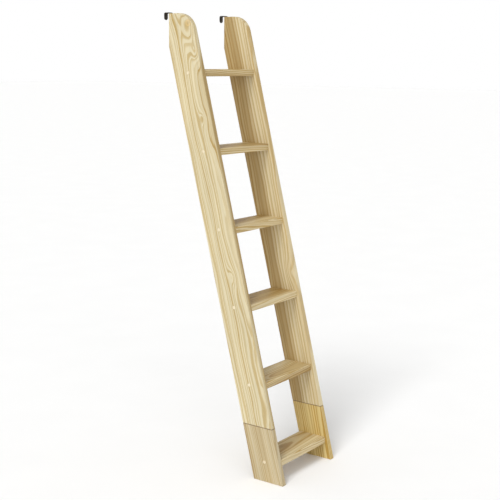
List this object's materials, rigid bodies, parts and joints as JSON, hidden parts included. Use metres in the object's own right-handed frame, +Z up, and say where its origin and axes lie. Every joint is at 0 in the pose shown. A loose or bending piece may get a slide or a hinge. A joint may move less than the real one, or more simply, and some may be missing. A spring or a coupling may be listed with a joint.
{
  "type": "hook-on ladder",
  "caption": "Leaning pine ladder with flat steps between two side boards, short foot sections, and steel hooks that hang it on a board edge.",
  "frame": {"origin": "on the floor, at the middle of the ladder's whole footprint from the toes to the back of the hooks", "axes": "+Z up, +X across the width towards the climber's right, -Y towards the climber, +Y towards the board that the hooks hang on"},
  "size_m": [0.395, 0.6185, 1.895],
  "materials": {
    "pine": "satin",
    "plug_wood": "satin",
    "dowel_wood": "matte",
    "zinc_steel": "satin",
    "dark_steel": "satin"
  },
  "bodies": {
    "root": {"left_rail": "pine", "left_foot": "pine", "right_rail": "pine", "right_foot": "pine", "step_1": "pine", "step_2": "pine", "step_3": "pine", "step_4": "pine", "step_5": "pine", "step_6": "pine", "left_hook": "dark_steel", "left_hook_screw_1": "zinc_steel", "left_hook_screw_2": "zinc_steel", "left_step_screw_1": "zinc_steel", "left_plug_1": "plug_wood", "left_step_dowel_1": "dowel_wood", "left_step_screw_2": "zinc_steel", "left_plug_2": "plug_wood", "left_step_dowel_2": "dowel_wood", "left_step_screw_3": "zinc_steel", "left_plug_3": "plug_wood", "left_step_dowel_3": "dowel_wood", "left_step_screw_4": "zinc_steel", "left_plug_4": "plug_wood", "left_step_dowel_4": "dowel_wood", "left_step_screw_5": "zinc_steel", "left_plug_5": "plug_wood", "left_step_dowel_5": "dowel_wood", "left_step_screw_6": "zinc_steel", "left_plug_6": "plug_wood", "left_step_dowel_6": "dowel_wood", "left_seam_dowel_front": "dowel_wood", "left_seam_dowel_back": "dowel_wood", "right_hook": "dark_steel", "right_hook_screw_1": "zinc_steel", "right_hook_screw_2": "zinc_steel", "right_step_screw_1": "zinc_steel", "right_plug_1": "plug_wood", "right_step_dowel_1": "dowel_wood", "right_step_screw_2": "zinc_steel", "right_plug_2": "plug_wood", "right_step_dowel_2": "dowel_wood", "right_step_screw_3": "zinc_steel", "right_plug_3": "plug_wood", "right_step_dowel_3": "dowel_wood", "right_step_screw_4": "zinc_steel", "right_plug_4": "plug_wood", "right_step_dowel_4": "dowel_wood", "right_step_screw_5": "zinc_steel", "right_plug_5": "plug_wood", "right_step_dowel_5": "dowel_wood", "right_step_screw_6": "zinc_steel", "right_plug_6": "plug_wood", "right_step_dowel_6": "dowel_wood", "right_seam_dowel_front": "dowel_wood", "right_seam_dowel_back": "dowel_wood"}
  },
  "joints": []
}
